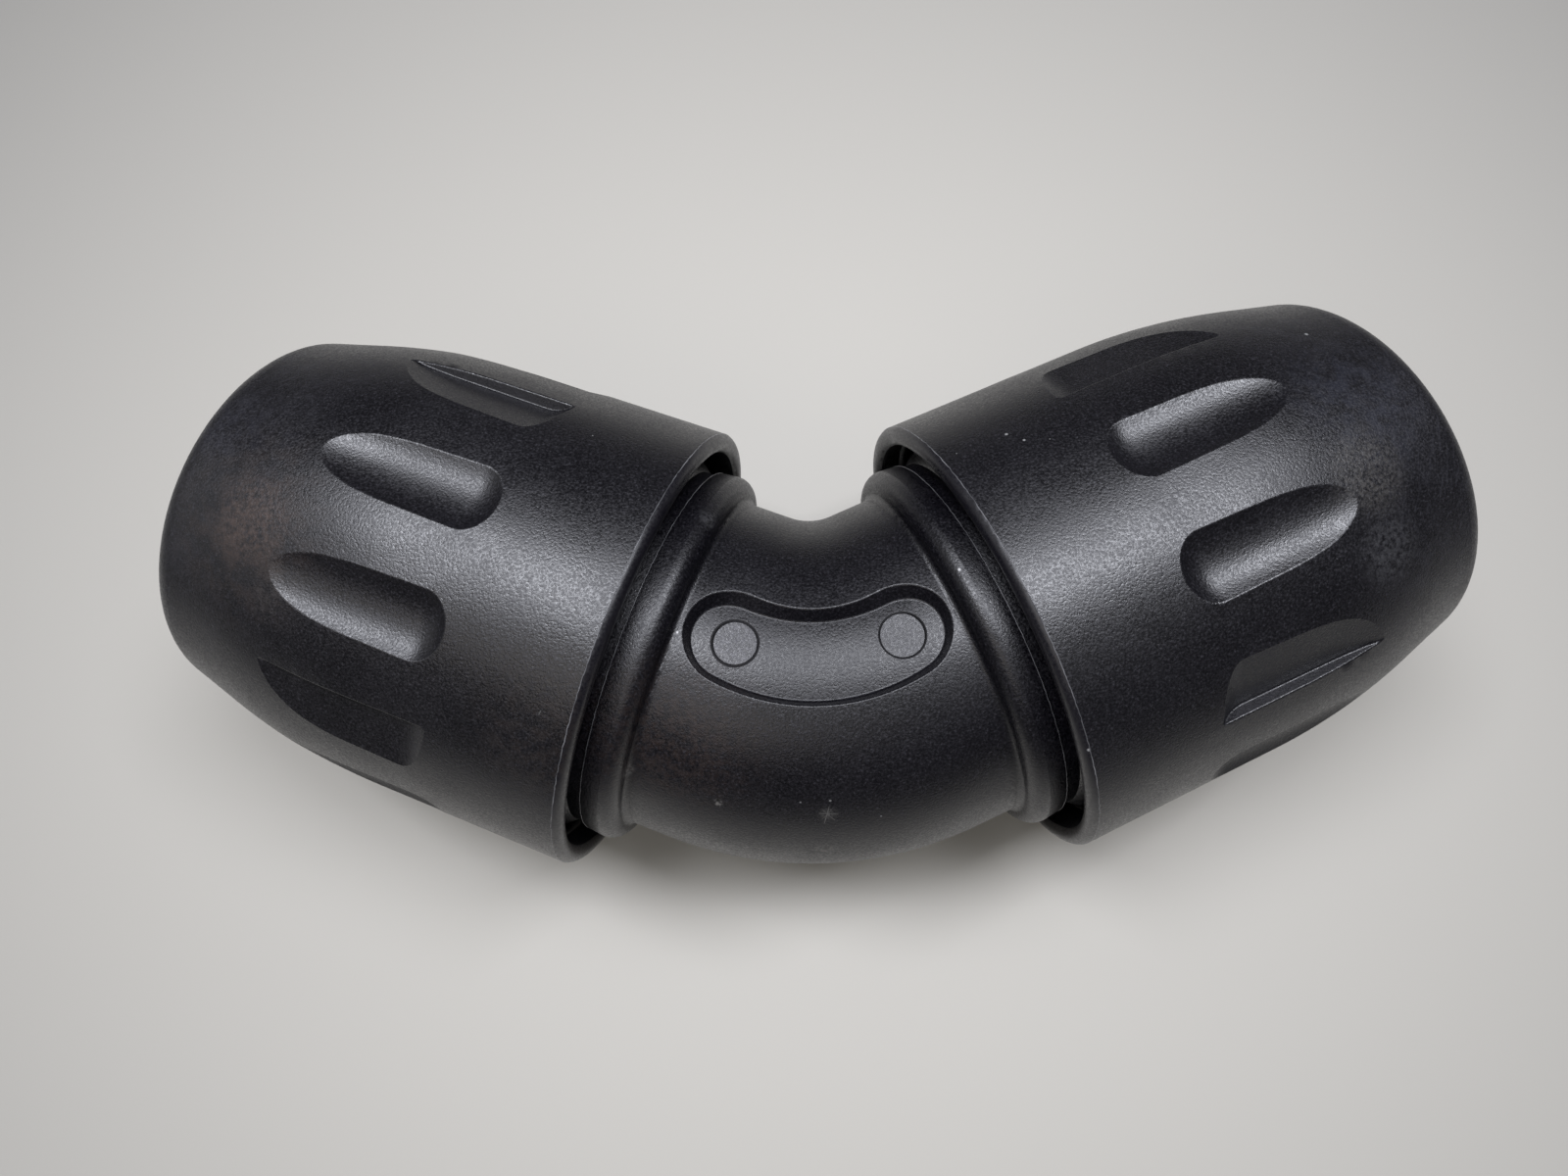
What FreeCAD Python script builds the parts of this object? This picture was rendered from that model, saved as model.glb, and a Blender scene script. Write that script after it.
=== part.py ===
import FreeCAD, Part
import math
import os

Vector = FreeCAD.Vector

# A 45 degree push-fit elbow for 63 mm pipe. Both legs lie level, and both nuts are one moulding.
# Along a leg, "s" is the distance outward from the crossing of the two leg axes.

# The elbow as a whole
ELBOW_ANGLE = 45.0
PIPE_RADIUS = 31.5
BEND_RADIUS = 43.1
STOP_STEP = 3.0
TUBE_WALL = 5.8
CENTRE_SHIFT = 24.8

# The socket that takes the pipe, and the pocket that takes the seal
PIPE_CLEARANCE = 0.35
STOP_S = 30.0
SOCKET_LENGTH = 34.0
POCKET_DEPTH = 14.0
POCKET_STEP = 4.45
POCKET_LEAD_IN = 0.5

# The shoulder that ends the bend, and the threaded sleeve
VALLEY_FROM_STOP = 2.9
VALLEY_FILLET = 1.2
SHOULDER_ROUND = 3.2
COLLAR_LENGTH = 3.6
COLLAR_FALL = 0.4
COLLAR_STEP = 0.8
NECK_LENGTH = 3.1
NECK_CHAMFER = 2.4
SLEEVE_WALL = 3.1
SLEEVE_CHAMFER = 0.8

# The kidney-shaped recess on top of the bend, at its foot and at its rim. Its floor follows the tube.
PLAQUE_DEPTH = 2.65
PLAQUE_FOOT_DROP = 3.4
PLAQUE_FOOT = {"lobe_x": 15.4, "lobe_y": 7.6, "lobe_r": 6.6, "top_y": 10.5, "bottom_y": -3.6}
PLAQUE_RIM = {"lobe_x": 14.0, "lobe_y": 8.1, "lobe_r": 9.4, "top_y": 13.3, "bottom_y": -5.0}
PLAQUE_SPAN = (-0.6, 1.1)
PLAQUE_RIM_FILLET = 0.35
PLAQUE_FOOT_FILLET = 0.4
PLAQUE_SEARCH = 1.0
PIN_MARKS = {"left": (-14.5, 7.2), "right": (14.9, 7.5)}
PIN_MARK_RADIUS = 4.1
PIN_MARK_DEPTH = 0.45

# The ring pack between the sleeve and the nut, from the socket outward
RING_GAP = 0.2
SEAL_CORD_RADIUS = 2.15
SEAL_SIDE_GAP = 0.1
BACKING_SIDE_GAP = 0.2
TIGHTENING_TRAVEL = 5.4
THRUST_WASHER_LENGTH = 3.0
THRUST_WASHER_GAP = 0.5
INNER_GAP = 0.7
EDGE_BREAK = 0.3
GRIP_RING_LENGTH = 2.4
GRIP_RING_METAL = 0.8
GRIP_RING_GAP = 0.8
TOOTH_COUNT = 24
TOOTH_LENGTH = 3.3
TOOTH_SLOT = 2.2
TOOTH_TIP_GAP = 0.45
RING_SPLIT = 4.0
CUT_MARGIN = 1.0
CLAMP_INNER_GAP = 0.5
CLAMP_COLLAR = 2.1
CLAMP_CONE = 16.7
CLAMP_SLOT_COUNT = 6
CLAMP_SLOT = 2.4
CLAMP_SLOT_LENGTH = 13.0
SLIP_WASHER_LENGTH = 2.0
SLIP_WASHER_GAP = 0.4

# The inside of the coupling nut
THREAD_DEPTH = 2.9
THREAD_LENGTH = 24.0
THREAD_RUN_OUT = 1.3
RUNNING_GAP = 0.3
CONE_END_STEP = 4.2
WASHER_SEAT_DEPTH = 2.6
NOSE_BORE_GAP = 0.4
NOSE_LENGTH = 12.45

# The outside of the coupling nut
MOUTH_FROM_STOP = 5.65
LIP_WALL = 3.7
MOUTH_TAPER = 0.92
NOSE_TAPER = 15.24
NOSE_CONE = 16.1
CROWN_LENGTH = 30.1
NOSE_ROUND = 6.9
LIP_BULGE = 1.5
LIP_INNER_BULGE = 0.5

# The finger grips around the nut
GRIP_COUNT = 12
OVALS_BETWEEN_STEPS = 2
GRIP_FROM_THREAD = 6.4
GRIP_FLOOR_LENGTH = 18.0
GRIP_DEPTH = 2.75
GRIP_CUTTER_RADIUS = 12.0
GRIP_CUTTER_NOSE = 9.35
GRIP_CUTTER_TAIL = 35.0
OVAL_RIM_FILLET = 0.5
STEP_FLOOR = 2.9
STEP_FLOOR_TURN = 10.6
STEP_WALL_TURN = 7.2
STEP_WALL_FILLET = 0.35
STEP_CUTTER_WIDTH = 30.0
STEP_WALL_FACING = 0.5
LEFT_CLOCKING = -6.2
RIGHT_CLOCKING = -0.3

# Radii that follow, from the pipe outward
WATERWAY_RADIUS = PIPE_RADIUS - STOP_STEP
TUBE_RADIUS = WATERWAY_RADIUS + TUBE_WALL
SOCKET_RADIUS = PIPE_RADIUS + PIPE_CLEARANCE
POCKET_RADIUS = SOCKET_RADIUS + POCKET_STEP
SLEEVE_RADIUS = POCKET_RADIUS + SLEEVE_WALL
LAND_RADIUS = SLEEVE_RADIUS + RUNNING_GAP
THREAD_BORE_RADIUS = SLEEVE_RADIUS + THREAD_DEPTH
MOUTH_RADIUS = THREAD_BORE_RADIUS + LIP_WALL
CONE_END_RADIUS = PIPE_RADIUS + CONE_END_STEP
NUT_BORE_RADIUS = PIPE_RADIUS + NOSE_BORE_GAP
GRIP_FLOOR_RADIUS = MOUTH_RADIUS - GRIP_DEPTH
STEP_FLOOR_RADIUS = MOUTH_RADIUS - STEP_FLOOR

# Distances that follow, from the crossing outward
HALF_ANGLE = ELBOW_ANGLE / 2
TANGENT_S = BEND_RADIUS * math.tan(math.radians(HALF_ANGLE))
ARC_CENTRE_Y = BEND_RADIUS / math.cos(math.radians(HALF_ANGLE))
VALLEY_S = STOP_S - VALLEY_FROM_STOP
ROUND_END_S = VALLEY_S + SHOULDER_ROUND
COLLAR_S = ROUND_END_S + COLLAR_LENGTH
NECK_END_S = COLLAR_S + NECK_LENGTH
MOUTH_S = STOP_S + MOUTH_FROM_STOP
SOCKET_END_S = STOP_S + SOCKET_LENGTH
SLEEVE_END_S = SOCKET_END_S + POCKET_DEPTH
THRUST_WASHER_S = SLEEVE_END_S + TIGHTENING_TRAVEL
GRIP_RING_S = THRUST_WASHER_S + THRUST_WASHER_LENGTH + RING_GAP
CLAMP_S = GRIP_RING_S + GRIP_RING_LENGTH + RING_GAP
CONE_START_S = CLAMP_S + CLAMP_COLLAR
CONE_END_S = CONE_START_S + CLAMP_CONE
CONE_SLOPE = (LAND_RADIUS - CONE_END_RADIUS) / CLAMP_CONE
BORE_START_S = CONE_END_S + WASHER_SEAT_DEPTH
NUT_END_S = BORE_START_S + NOSE_LENGTH
CROWN_END_S = NUT_END_S - NOSE_CONE
CROWN_START_S = CROWN_END_S - CROWN_LENGTH
THREAD_END_S = MOUTH_S + THREAD_LENGTH
GRIP_S = THREAD_END_S + GRIP_FROM_THREAD
PLAQUE_FLOOR_RADIUS = TUBE_RADIUS - PLAQUE_DEPTH
PLAQUE_FOOT_Z = TUBE_RADIUS - PLAQUE_FOOT_DROP
LEG_AXIS = Vector(1, 0, 0)
UP = Vector(0, 0, 1)


class Outline:
    """A closed outline drawn under the leg axis, as distance along it and radius."""

    def __init__(self, along, radius):
        self.start = Vector(along, 0, -radius)
        self.here = self.start
        self.edges = []

    def line(self, along, radius):
        there = Vector(along, 0, -radius)
        self.edges.append(Part.LineSegment(self.here, there).toShape())
        self.here = there
        return self

    def arc(self, middle_along, middle_radius, along, radius):
        middle = Vector(middle_along, 0, -middle_radius)
        there = Vector(along, 0, -radius)
        self.edges.append(Part.Arc(self.here, middle, there).toShape())
        self.here = there
        return self

    def curve(self, centre, size, start_turn, end_turn):
        """An arc by its centre, its radius and two angles from the axis, in degrees."""
        points = []
        for turn in ((start_turn + end_turn) / 2, end_turn):
            points.append(centre[0] + size * math.cos(math.radians(turn)))
            points.append(centre[1] + size * math.sin(math.radians(turn)))
        return self.arc(*points)

    def turned(self):
        """The solid made by turning the outline once about the leg axis."""
        self.line(self.start.x, -self.start.z)
        face = Part.Face(Part.Wire(self.edges))
        return face.revolve(Vector(0, 0, 0), LEG_AXIS, 360)


def ring(start, end, inner, outer, edge=EDGE_BREAK):
    """A plain ring around the leg axis, with its four edges broken."""
    outline = Outline(start + edge, inner).line(end - edge, inner).line(end, inner + edge)
    outline.line(end, outer - edge).line(end - edge, outer).line(start + edge, outer)
    outline.line(start, outer - edge).line(start, inner + edge)
    return outline.turned()


def slot(start, end, outer, width, turn):
    """A block with parallel sides that stands on the leg axis at one angle around it."""
    block = Part.makeBox(end - start, width, outer, Vector(start, -width / 2, 0))
    block.rotate(Vector(0, 0, 0), LEG_AXIS, turn)
    return block


def bend(radius):
    """A solid bent rod of one radius, from the end of one straight leg to the other."""
    leg = Vector(-math.cos(math.radians(HALF_ANGLE)), math.sin(math.radians(HALF_ANGLE)), 0)
    circle = Part.Circle(leg * TANGENT_S, leg, radius).toShape()
    circle.rotate(leg * TANGENT_S, leg, -90)
    face = Part.Face(Part.Wire([circle]))
    return face.revolve(Vector(0, ARC_CENTRE_Y, 0), UP, ELBOW_ANGLE)


def body_leg():
    """One straight leg: tube, rounded shoulder, collar, threaded sleeve, socket and seal pocket."""
    valley_r = TUBE_RADIUS + VALLEY_FILLET
    collar_r = valley_r + SHOULDER_ROUND - COLLAR_FALL
    outline = Outline(TANGENT_S, WATERWAY_RADIUS)
    outline.line(TANGENT_S, TUBE_RADIUS)
    outline.line(VALLEY_S - VALLEY_FILLET, TUBE_RADIUS)
    outline.curve((VALLEY_S - VALLEY_FILLET, valley_r), VALLEY_FILLET, -90, 0)
    outline.curve((ROUND_END_S, valley_r), SHOULDER_ROUND, 180, 90)
    outline.line(COLLAR_S, collar_r)
    outline.line(COLLAR_S, collar_r - COLLAR_STEP)
    outline.line(NECK_END_S, collar_r - COLLAR_STEP)
    outline.line(NECK_END_S + NECK_CHAMFER, SLEEVE_RADIUS)
    outline.line(SLEEVE_END_S - SLEEVE_CHAMFER, SLEEVE_RADIUS)
    outline.line(SLEEVE_END_S, SLEEVE_RADIUS - SLEEVE_CHAMFER)
    outline.line(SLEEVE_END_S, POCKET_RADIUS + POCKET_LEAD_IN)
    outline.line(SLEEVE_END_S - POCKET_LEAD_IN, POCKET_RADIUS)
    outline.line(SOCKET_END_S, POCKET_RADIUS)
    outline.line(SOCKET_END_S, SOCKET_RADIUS)
    outline.line(STOP_S, SOCKET_RADIUS)
    outline.line(STOP_S, WATERWAY_RADIUS)
    return outline.turned()


def kidney(lobe_x, lobe_y, lobe_r, top_y, bottom_y, z):
    """A closed kidney outline: two round lobes, a hollow arc above and a full arc below."""
    hollow = lobe_x**2 + (top_y - lobe_y) ** 2 - lobe_r**2
    hollow = hollow / (2 * (lobe_r - (top_y - lobe_y)))
    full = lobe_x**2 + (lobe_y - bottom_y) ** 2 - lobe_r**2
    full = full / (2 * (lobe_y - bottom_y - lobe_r))
    lobe = Vector(lobe_x, lobe_y, z)
    above = Vector(0, top_y + hollow, z)
    below = Vector(0, bottom_y + full, z)
    upper = lobe + (above - lobe).normalize() * lobe_r
    lower = lobe + (lobe - below).normalize() * lobe_r
    side = Vector(lobe_x + lobe_r, lobe_y, z)
    mirrored = [Vector(-point.x, point.y, point.z) for point in (upper, side, lower)]
    arcs = [
        Part.Arc(mirrored[0], Vector(0, top_y, z), upper),
        Part.Arc(upper, side, lower),
        Part.Arc(lower, Vector(0, bottom_y, z), mirrored[2]),
        Part.Arc(mirrored[2], mirrored[1], mirrored[0]),
    ]
    return Part.Wire([arc.toShape() for arc in arcs])


def plaque_outline(share):
    """The outline of the recess's wall at one height, from its foot at 0 to its rim at 1."""
    sizes = {}
    for key, low in PLAQUE_FOOT.items():
        sizes[key] = low + (PLAQUE_RIM[key] - low) * share
    return kidney(z=PLAQUE_FOOT_Z + PLAQUE_FOOT_DROP * share, **sizes)


def plaque_cutter():
    """The recess as a solid that widens upward from a floor that follows the tube."""
    low, high = PLAQUE_SPAN
    block = Part.makeLoft([plaque_outline(low), plaque_outline(high)], True, True)
    leg = Part.makeCylinder(PLAQUE_FLOOR_RADIUS, STOP_S - TANGENT_S, LEG_AXIS * TANGENT_S, LEG_AXIS)
    legs = [placed(leg, side) for side in SIDES]
    return block.cut([bend(PLAQUE_FLOOR_RADIUS)] + legs)


def soften(solid, edges, radius):
    """The solid with these edges rounded, or as it was where the rounding can't be made."""
    try:
        rounded = solid.makeFillet(radius, edges)
    except (Part.OCCError, RuntimeError, ValueError):
        return solid
    if rounded.isValid() and len(rounded.Solids) == 1 and rounded.Volume > 0:
        return rounded
    return solid


def plaque_edges(body, low, high):
    """The edges of the recess that lie between two heights."""
    reach = PLAQUE_RIM["lobe_x"] + PLAQUE_RIM["lobe_r"] + PLAQUE_SEARCH
    found = []
    for edge in body.Edges:
        box = edge.BoundBox
        is_near = box.XMin > -reach and box.XMax < reach
        if is_near and box.ZMin > low and box.ZMax < high:
            found.append(edge)
    return found


def elbow_body():
    """The moulded body: bend and two legs in one piece, with its recess."""
    legs = [placed(body_leg(), side) for side in SIDES]
    tube = bend(TUBE_RADIUS).cut(bend(WATERWAY_RADIUS))
    body = tube.fuse(legs).removeSplitter()
    body = body.cut(plaque_cutter())
    rim = plaque_edges(body, PLAQUE_FLOOR_RADIUS, TUBE_RADIUS + PLAQUE_SEARCH)
    body = soften(body, rim, PLAQUE_RIM_FILLET)
    foot = plaque_edges(body, PLAQUE_FOOT_Z - PLAQUE_SEARCH, PLAQUE_FLOOR_RADIUS + PLAQUE_FOOT_FILLET)
    body = soften(body, foot, PLAQUE_FOOT_FILLET)
    for x, y in PIN_MARKS.values():
        low = Vector(x, y, PLAQUE_FLOOR_RADIUS - PIN_MARK_DEPTH)
        body = body.cut(Part.makeCylinder(PIN_MARK_RADIUS, TUBE_RADIUS, low, UP))
    return body


def nut_blank():
    """The nut without its grips: tapered outside, crowned nose, thread bore, land and cone."""
    taper = math.radians(MOUTH_TAPER)
    nose = math.radians(NOSE_TAPER)
    crown = CROWN_LENGTH / (math.sin(nose) - math.sin(taper))
    crown_r = MOUTH_RADIUS - (CROWN_START_S - MOUTH_S) * math.tan(taper)
    crown_centre = (CROWN_START_S - crown * math.sin(taper), crown_r - crown * math.cos(taper))
    sharp_r = crown_centre[1] + crown * math.cos(nose) - NOSE_CONE * math.tan(nose)
    reach = NOSE_ROUND * math.tan((math.pi / 2 - nose) / 2)
    round_centre = (NUT_END_S - NOSE_ROUND, sharp_r - reach)
    round_start_s = round_centre[0] + NOSE_ROUND * math.sin(nose)
    round_start_r = round_centre[1] + NOSE_ROUND * math.cos(nose)
    bore_turn = math.degrees(math.asin((NUT_BORE_RADIUS - round_centre[1]) / NOSE_ROUND))

    outline = Outline(MOUTH_S - LIP_INNER_BULGE, THREAD_BORE_RADIUS)
    outline.arc(MOUTH_S - LIP_BULGE, MOUTH_RADIUS - LIP_WALL / 2, MOUTH_S, MOUTH_RADIUS)
    outline.line(CROWN_START_S, crown_r)
    outline.curve(crown_centre, crown, 90 - MOUTH_TAPER, 90 - NOSE_TAPER)
    outline.line(round_start_s, round_start_r)
    outline.curve(round_centre, NOSE_ROUND, 90 - NOSE_TAPER, bore_turn)
    outline.line(BORE_START_S, NUT_BORE_RADIUS)
    outline.line(BORE_START_S, CONE_END_RADIUS)
    outline.line(CONE_END_S, CONE_END_RADIUS)
    outline.line(CONE_START_S, LAND_RADIUS)
    outline.line(THREAD_END_S + THREAD_RUN_OUT, LAND_RADIUS)
    outline.line(THREAD_END_S - THREAD_RUN_OUT, THREAD_BORE_RADIUS)
    return outline.turned()


def grip_face(floor_r):
    """Half of a grip's long section: a flat floor between a short and a long quarter ellipse."""
    near = Vector(GRIP_S, 0, floor_r + GRIP_CUTTER_RADIUS)
    far = near + LEG_AXIS * GRIP_FLOOR_LENGTH
    down = -UP * GRIP_CUTTER_RADIUS
    nose = near - LEG_AXIS * GRIP_CUTTER_NOSE
    tail = far + LEG_AXIS * GRIP_CUTTER_TAIL
    short_end = Part.Ellipse(near + down, nose, near)
    long_end = Part.Ellipse(tail, far + down, far)
    sides = [
        Part.ArcOfEllipse(short_end, 0, math.pi / 2),
        Part.LineSegment(near + down, far + down),
        Part.ArcOfEllipse(long_end, 0, math.pi / 2),
        Part.LineSegment(tail, nose),
    ]
    edges = Part.__sortEdges__([side.toShape() for side in sides])
    return Part.Face(Part.Wire(edges)), near


def oval_cutter():
    """A round-bottomed groove with an egg-shaped end, which runs out on the nut's taper."""
    face, centre = grip_face(GRIP_FLOOR_RADIUS)
    face.rotate(centre, LEG_AXIS, 180)
    return face.revolve(centre, LEG_AXIS, 360)


def stepped_cutter():
    """A flat-floored cut with one upright wall, which runs out on its other side."""
    face, centre = grip_face(STEP_FLOOR_RADIUS)
    wall_y = MOUTH_RADIUS * math.sin(math.radians(STEP_FLOOR_TURN - STEP_WALL_TURN))
    face.translate(Vector(0, wall_y, 0))
    cutter = face.extrude(Vector(0, STEP_CUTTER_WIDTH, 0))
    cutter.rotate(Vector(0, 0, 0), LEG_AXIS, STEP_FLOOR_TURN)
    return cutter


def is_step_wall(face):
    """True for a flat face of the nut that looks neither along the leg nor out from it."""
    if not isinstance(face.Surface, Part.Plane):
        return False
    middle = face.CenterOfMass
    outward = Vector(0, middle.y, middle.z).normalize()
    normal = face.normalAt(0, 0)
    across = abs(normal.dot(outward)) < STEP_WALL_FACING
    return across and abs(normal.dot(LEG_AXIS)) < STEP_WALL_FACING


def coupling_nut():
    """The whole nut, with stepped and oval grips in turn around it."""
    ovals = []
    steps = []
    for index in range(GRIP_COUNT):
        is_step = index % (OVALS_BETWEEN_STEPS + 1) == 1
        cutter = stepped_cutter() if is_step else oval_cutter()
        cutter.rotate(Vector(0, 0, 0), LEG_AXIS, (index + 0.5) * 360 / GRIP_COUNT)
        (steps if is_step else ovals).append(cutter)
    nut = nut_blank().cut(ovals)
    rims = [edge for edge in nut.Edges if isinstance(edge.Curve, Part.BSplineCurve)]
    nut = soften(nut, rims, OVAL_RIM_FILLET).cut(steps)
    walls = [face for face in nut.Faces if is_step_wall(face)]
    edges = [edge for wall in walls for edge in wall.Edges]
    return soften(nut, edges, STEP_WALL_FILLET)


def seal_ring():
    """The rubber ring in the pocket, a plain torus."""
    middle_r = POCKET_RADIUS - SEAL_SIDE_GAP - SEAL_CORD_RADIUS
    middle_s = SOCKET_END_S + RING_GAP + SEAL_CORD_RADIUS
    centre = Vector(middle_s, 0, 0)
    return Part.makeTorus(middle_r, SEAL_CORD_RADIUS, centre, LEG_AXIS)


def seal_backing_ring():
    """The stiff ring that keeps the seal in its pocket."""
    start = SOCKET_END_S + 2 * RING_GAP + 2 * SEAL_CORD_RADIUS
    inner = PIPE_RADIUS + INNER_GAP - SEAL_SIDE_GAP
    return ring(start, SLEEVE_END_S, inner, POCKET_RADIUS - BACKING_SIDE_GAP)


def thrust_washer():
    """The flat ring that meets the sleeve's end when the nut is tight."""
    end = THRUST_WASHER_S + THRUST_WASHER_LENGTH
    return ring(THRUST_WASHER_S, end, PIPE_RADIUS + INNER_GAP, LAND_RADIUS - THRUST_WASHER_GAP)


def grip_ring():
    """The split steel ring whose leaning teeth hold the pipe."""
    start = GRIP_RING_S
    end = start + GRIP_RING_LENGTH
    tip_r = PIPE_RADIUS + TOOTH_TIP_GAP
    root_r = tip_r + TOOTH_LENGTH
    rim_r = LAND_RADIUS - GRIP_RING_GAP
    outline = Outline(end - GRIP_RING_METAL, rim_r)
    outline.line(end, rim_r).line(end, root_r)
    outline.line(start + GRIP_RING_METAL, tip_r)
    outline.line(start, tip_r + GRIP_RING_METAL / 2)
    outline.line(end - GRIP_RING_METAL, root_r + GRIP_RING_METAL / 2)
    plate = outline.turned()
    low = start - CUT_MARGIN
    high = end + CUT_MARGIN
    cuts = [slot(low, high, rim_r + CUT_MARGIN, RING_SPLIT, 180)]
    for index in range(TOOTH_COUNT):
        turn = index * 360 / TOOTH_COUNT
        cuts.append(slot(low, high, root_r - GRIP_RING_METAL, TOOTH_SLOT, turn))
    return plate.cut(cuts)


def clamp_ring():
    """The split plastic collet that the nut's cone closes on the pipe."""
    side_gap = RUNNING_GAP * math.sqrt(1 + CONE_SLOPE**2)
    inner = PIPE_RADIUS + CLAMP_INNER_GAP
    outline = Outline(CLAMP_S, inner).line(CLAMP_S, LAND_RADIUS - side_gap)
    outline.line(CONE_START_S, LAND_RADIUS - side_gap)
    outline.line(CONE_END_S, CONE_END_RADIUS - side_gap)
    outline.line(CONE_END_S, inner)
    collet = outline.turned()
    high = CONE_END_S + CUT_MARGIN
    cuts = [slot(CLAMP_S - CUT_MARGIN, high, LAND_RADIUS, RING_SPLIT, 180)]
    for index in range(CLAMP_SLOT_COUNT):
        turn = index * 360 / CLAMP_SLOT_COUNT
        cuts.append(slot(CONE_END_S - CLAMP_SLOT_LENGTH, high, LAND_RADIUS, CLAMP_SLOT, turn))
    return collet.cut(cuts)


def slip_washer():
    """The thin ring that lets the nut turn past the collet."""
    start = CONE_END_S + RUNNING_GAP
    outer = CONE_END_RADIUS - SLIP_WASHER_GAP
    return ring(start, start + SLIP_WASHER_LENGTH, PIPE_RADIUS + INNER_GAP, outer)


SIDES = {
    "left": {"turn": 180 - HALF_ANGLE, "clocking": LEFT_CLOCKING},
    "right": {"turn": HALF_ANGLE, "clocking": RIGHT_CLOCKING},
}

PIECES = {
    "coupling_nut": coupling_nut,
    "slip_washer": slip_washer,
    "clamp_ring": clamp_ring,
    "grip_ring": grip_ring,
    "thrust_washer": thrust_washer,
    "seal_backing_ring": seal_backing_ring,
    "seal_ring": seal_ring,
}


def placed(shape, side):
    """A copy of a leg's shape, turned from the X axis to the direction of that leg."""
    copy = shape.copy()
    copy.rotate(Vector(0, 0, 0), UP, SIDES[side]["turn"])
    return copy


def save(shape, node):
    """Moves the shape so that the object's box is centred on the origin, and writes it."""
    solid = shape.Solids[0].copy()
    solid.translate(Vector(0, -CENTRE_SHIFT, 0))
    solid.exportStep("parts/" + node + ".step")


def main():
    os.makedirs("parts", exist_ok=True)
    save(elbow_body(), "elbow_body")
    for piece, make in PIECES.items():
        shape = make()
        for side in SIDES:
            turned = shape.copy()
            if piece == "coupling_nut":
                turned.rotate(Vector(0, 0, 0), LEG_AXIS, SIDES[side]["clocking"])
            save(placed(turned, side), piece + "_" + side)


main()
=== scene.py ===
"""A black moulded 45 degree push-fit elbow for 63 mm pipe, dressed and lit over its solid model."""

import logging
import math
from dataclasses import dataclass, field
from enum import Enum
from typing import Dict, List, Optional, Sequence, Tuple, Union

import bpy
from mathutils import Matrix, Vector


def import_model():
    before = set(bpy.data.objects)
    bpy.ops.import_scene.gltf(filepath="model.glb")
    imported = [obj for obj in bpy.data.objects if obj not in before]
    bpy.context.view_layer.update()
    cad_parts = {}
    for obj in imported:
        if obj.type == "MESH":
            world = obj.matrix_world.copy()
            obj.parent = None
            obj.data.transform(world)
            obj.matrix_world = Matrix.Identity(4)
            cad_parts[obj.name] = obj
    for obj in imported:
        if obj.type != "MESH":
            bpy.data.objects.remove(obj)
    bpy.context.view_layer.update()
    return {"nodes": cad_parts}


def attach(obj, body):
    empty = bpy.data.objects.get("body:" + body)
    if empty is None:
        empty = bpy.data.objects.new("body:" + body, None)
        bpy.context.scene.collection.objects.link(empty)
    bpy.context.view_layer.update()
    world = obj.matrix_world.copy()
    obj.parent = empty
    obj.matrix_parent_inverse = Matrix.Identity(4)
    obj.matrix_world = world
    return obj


log = logging.getLogger("elbow")

MM = 0.001
Levels = Tuple[float, float]
Triple = Tuple[float, float, float]
Colour = Tuple[float, float, float, float]
Socket = bpy.types.NodeSocket
Value = Union[float, Socket]
Vectors = Union[Vector, Socket]
Paint = Union[Colour, Socket]
Supply = Union[float, Sequence[float], Vector, bpy.types.Material, Socket]

# The row frame's Y of the point where both leg axes cross, in mm
CROSSING_Y = -24.8

# The levels between which most of a noise lies
NOISE_LEVELS: Levels = (0.3, 0.7)


def grey(level: float) -> Colour:
    """An even grey of the given lightness, from 0 to 1."""
    return (level, level, level, 1.0)


# Ends and places


class End(Enum):
    """The two legs of the elbow, by the angle of each leg's axis from +X, in degrees."""

    LEFT = 157.5
    RIGHT = 22.5

    @property
    def word(self) -> str:
        """The end's word in the names of nodes and bodies."""
        return self.name.lower()


@dataclass(frozen=True)
class LegFrame:
    """Turns distances along one leg into places in the row frame.

    The crossing of the two leg axes lies off the middle of the fitting's box, towards the heel.
    """

    end: End
    crossing_y: float = CROSSING_Y

    @property
    def outward(self) -> Vector:
        """The direction of the leg's axis, away from the bend."""
        angle = math.radians(self.end.value)
        return Vector((math.cos(angle), math.sin(angle), 0.0))

    @property
    def crossing(self) -> Vector:
        """The point where both leg axes cross, in metres."""
        return Vector((0.0, self.crossing_y * MM, 0.0))

    def matrix(self, s: float) -> Matrix:
        """The placement of a piece that is made around the Z axis, in metres.

        Args:
            s: distance along the leg of the piece's own origin, in mm.

        Returns:
            A matrix that turns Z to the outward leg axis and X to +Z of the row.
        """
        up = Vector((0.0, 0.0, 1.0))
        axes = Matrix((up, self.outward.cross(up), self.outward)).transposed().to_4x4()
        return Matrix.Translation(self.outward * s * MM + self.crossing) @ axes


# Node trees


class NodeSketch:
    """What the trees of materials and of shapes have in common."""

    def __init__(self, tree: bpy.types.NodeTree) -> None:
        """Keeps the tree that is being built."""
        self.tree = tree

    def feed(self, target: Socket, value: Supply) -> None:
        """Links a socket to the target, or sets the target to a value.

        Args:
            target: the input socket.
            value: an output socket, or a number, colour, vector or material.
        """
        if isinstance(value, bpy.types.NodeSocket):
            self.tree.links.new(value, target)
        else:
            target.default_value = value

    def math(self, kind: str, first: Value, second: Value) -> Socket:
        """One sum on two values.

        Args:
            kind: the operation's name, such as MULTIPLY.
            first: the first value.
            second: the second value.

        Returns:
            The result.
        """
        node = self.tree.nodes.new("ShaderNodeMath")
        node.operation = kind
        self.feed(node.inputs[0], first)
        self.feed(node.inputs[1], second)
        return node.outputs[0]


# Materials


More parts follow.
